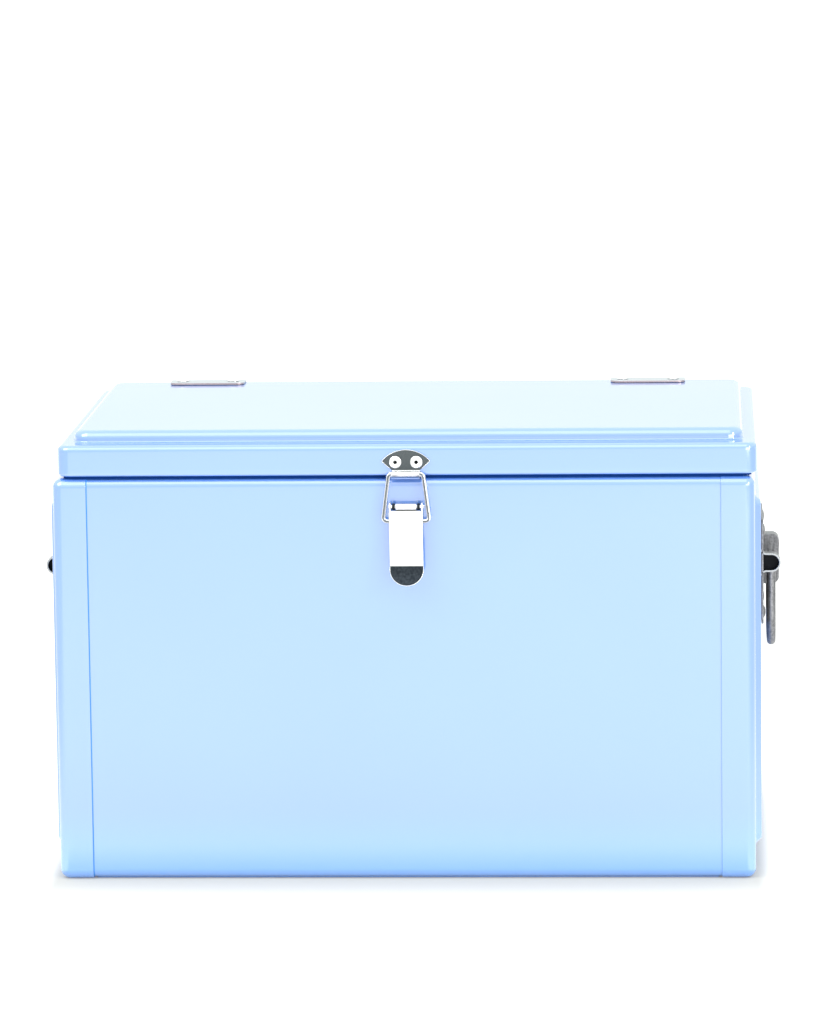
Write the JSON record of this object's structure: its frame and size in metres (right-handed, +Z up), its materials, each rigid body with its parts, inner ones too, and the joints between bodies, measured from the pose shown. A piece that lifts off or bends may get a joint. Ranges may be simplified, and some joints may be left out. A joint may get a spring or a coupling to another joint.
{
  "type": "insulated cooler chest",
  "caption": "Insulated sheet-metal chest cooler with a hinged raised-panel lid, a front draw latch and fold-down wire handles on both ends.",
  "frame": {"origin": "on the floor at the middle of the body's footprint, on the underside of the base pan", "axes": "+X along the chest's width, +Y from the latched front to the hinged back, +Z up"},
  "size_m": [0.4804, 0.3018, 0.291],
  "materials": {
    "enamel": "glossy pale sky-blue powder coat on pressed sheet steel",
    "zinc": "bright zinc-plated pressed steel",
    "galvanised": "dull galvanised steel",
    "liner": "white moulded plastic, satin",
    "foam": "cream polyurethane foam, hidden",
    "seal": "soft grey rubber"
  },
  "bodies": {
    "chest": {"back_panel": "enamel", "base_pan": "enamel", "body_foam": "foam", "end_cap_left": "enamel", "end_cap_right": "enamel", "front_panel": "enamel", "handle_left_rivet_1": "galvanised", "handle_left_rivet_2": "galvanised", "handle_left_rivet_3": "galvanised", "handle_left_rivet_4": "galvanised", "handle_plate_left": "galvanised", "handle_plate_right": "galvanised", "handle_right_rivet_1": "galvanised", "handle_right_rivet_2": "galvanised", "handle_right_rivet_3": "galvanised", "handle_right_rivet_4": "galvanised", "hinge_body_leaf_left": "zinc", "hinge_body_leaf_right": "zinc", "hinge_body_rivet_1": "zinc", "hinge_body_rivet_2": "zinc", "hinge_body_rivet_3": "zinc", "hinge_body_rivet_4": "zinc", "hinge_pin_left": "zinc", "hinge_pin_right": "zinc", "latch_base": "zinc", "latch_base_rivet_1": "zinc", "latch_base_rivet_2": "zinc", "latch_pivot_pin": "zinc", "liner_tub": "liner"},
    "lid": {"catch_plate": "zinc", "catch_rivet_1": "zinc", "catch_rivet_2": "zinc", "hinge_lid_leaf_left": "zinc", "hinge_lid_leaf_right": "zinc", "hinge_lid_rivet_1": "zinc", "hinge_lid_rivet_2": "zinc", "hinge_lid_rivet_3": "zinc", "hinge_lid_rivet_4": "zinc", "lid_foam": "foam", "lid_liner": "liner", "lid_seal": "seal", "lid_shell": "enamel"},
    "lever": {"latch_lever": "zinc"},
    "bail": {"latch_bail": "zinc"},
    "left_handle": {"handle_bail_left": "galvanised"},
    "right_handle": {"handle_bail_right": "galvanised"}
  },
  "joints": [
    {"name": "lid_hinge", "type": "hinge", "parent": "chest", "child": "lid", "pos_m": [0.0043, 0.143, 0.257], "axis": [-1, 0, 0], "range_deg": [0, 100]},
    {"name": "latch_lever_swing", "type": "hinge", "parent": "chest", "child": "lever", "pos_m": [0.0026, -0.1453, 0.2414], "axis": [-1, 0, 0], "range_deg": [0, 100]},
    {"name": "latch_bail_swing", "type": "hinge", "parent": "lever", "child": "bail", "pos_m": [0.0026, -0.1448, 0.232], "axis": [-1, 0, 0], "range_deg": [-100, 0]},
    {"name": "left_handle_swing", "type": "hinge", "parent": "chest", "child": "left_handle", "pos_m": [-0.2339, 0.01, 0.186], "axis": [0, 1, 0], "range_deg": [0, 90]},
    {"name": "right_handle_swing", "type": "hinge", "parent": "chest", "child": "right_handle", "pos_m": [0.2339, 0.01, 0.186], "axis": [0, -1, 0], "range_deg": [0, 90]}
  ],
  "couplings": [
    {"joint": "latch_bail_swing", "follows": "latch_lever_swing", "ratio": -1}
  ]
}
